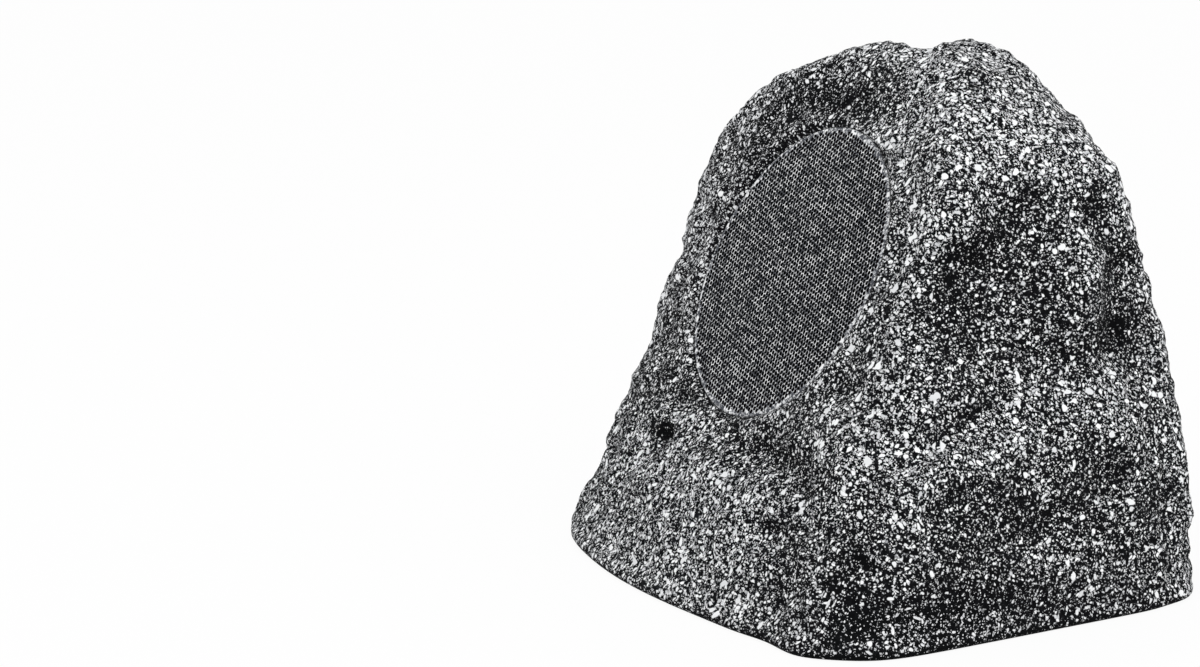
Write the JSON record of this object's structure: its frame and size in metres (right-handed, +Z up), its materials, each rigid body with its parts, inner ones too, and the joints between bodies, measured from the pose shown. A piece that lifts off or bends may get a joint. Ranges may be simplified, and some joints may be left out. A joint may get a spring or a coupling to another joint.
{
  "type": "garden speaker",
  "caption": "Outdoor speaker moulded as a speckled boulder, with a round perforated grille let into its leaning front face and a coaxial driver behind it.",
  "frame": {"origin": "on the ground, at the face that the speaker rests on, under the middle of the rock", "axes": "+Z up, the grille looks towards -Y and leans back, +X to the right of someone behind the speaker's face looking along +Y"},
  "size_m": [0.3297, 0.272, 0.286],
  "materials": {
    "speckled_moulding": "charcoal moulding, flecked with pale grey",
    "black_moulding": "black moulded plastic",
    "seal_foam": "closed-cell foam",
    "screw_steel": "zinc plated",
    "black_rubber": "matt black rubber",
    "grille_paint": "charcoal paint, flecked with pale grey",
    "scrim_cloth": "fine black cloth",
    "basket_paint": "black enamel on pressed steel",
    "cone_plastic": "moulded polypropylene",
    "coil_aluminium": "bare foil tube",
    "copper_wire": "enamelled copper wire",
    "spider_cloth": "resin dipped cloth",
    "motor_steel": "zinc plated steel",
    "ferrite": "dark ground ferrite",
    "board_laminate": "phenolic laminate",
    "tab_brass": "tinned brass",
    "dome_silk": "coated silk",
    "capacitor_sleeve": "shrink sleeve",
    "resistor_body": "cement case",
    "terminal_green": "moulded plastic"
  },
  "bodies": {
    "cabinet": {"rock_shell": "speckled_moulding", "base_plate": "black_moulding", "base_seal": "seal_foam", "base_screws": "screw_steel", "cable_grommet": "black_rubber", "grille": "grille_paint", "grille_scrim": "scrim_cloth", "driver_seal": "seal_foam", "woofer_basket": "basket_paint", "driver_screws": "screw_steel", "surround": "black_rubber", "spider": "spider_cloth", "top_plate": "motor_steel", "magnet": "ferrite", "pole_yoke": "motor_steel", "terminal_strip": "board_laminate", "terminal_tabs": "tab_brass", "tweeter_bridge": "black_moulding", "bridge_screws": "screw_steel", "tweeter_cup": "black_moulding", "tweeter_magnet": "motor_steel", "tweeter_dome": "dome_silk", "crossover_board": "board_laminate", "board_screws": "screw_steel", "capacitor": "capacitor_sleeve", "inductor_bobbin": "black_moulding", "inductor_winding": "copper_wire", "resistor": "resistor_body", "terminal_block": "terminal_green"},
    "cone_assembly": {"cone": "cone_plastic", "dust_cap": "cone_plastic", "coil_former": "coil_aluminium", "voice_coil": "copper_wire"}
  },
  "joints": [
    {"name": "cone_excursion", "type": "slide", "parent": "cabinet", "child": "cone_assembly", "axis": [-0.0622, -0.8888, 0.454], "range_m": [-0.004, 0.004], "stiffness_N_per_m": 1200, "deforming": ["surround", "spider"]}
  ]
}
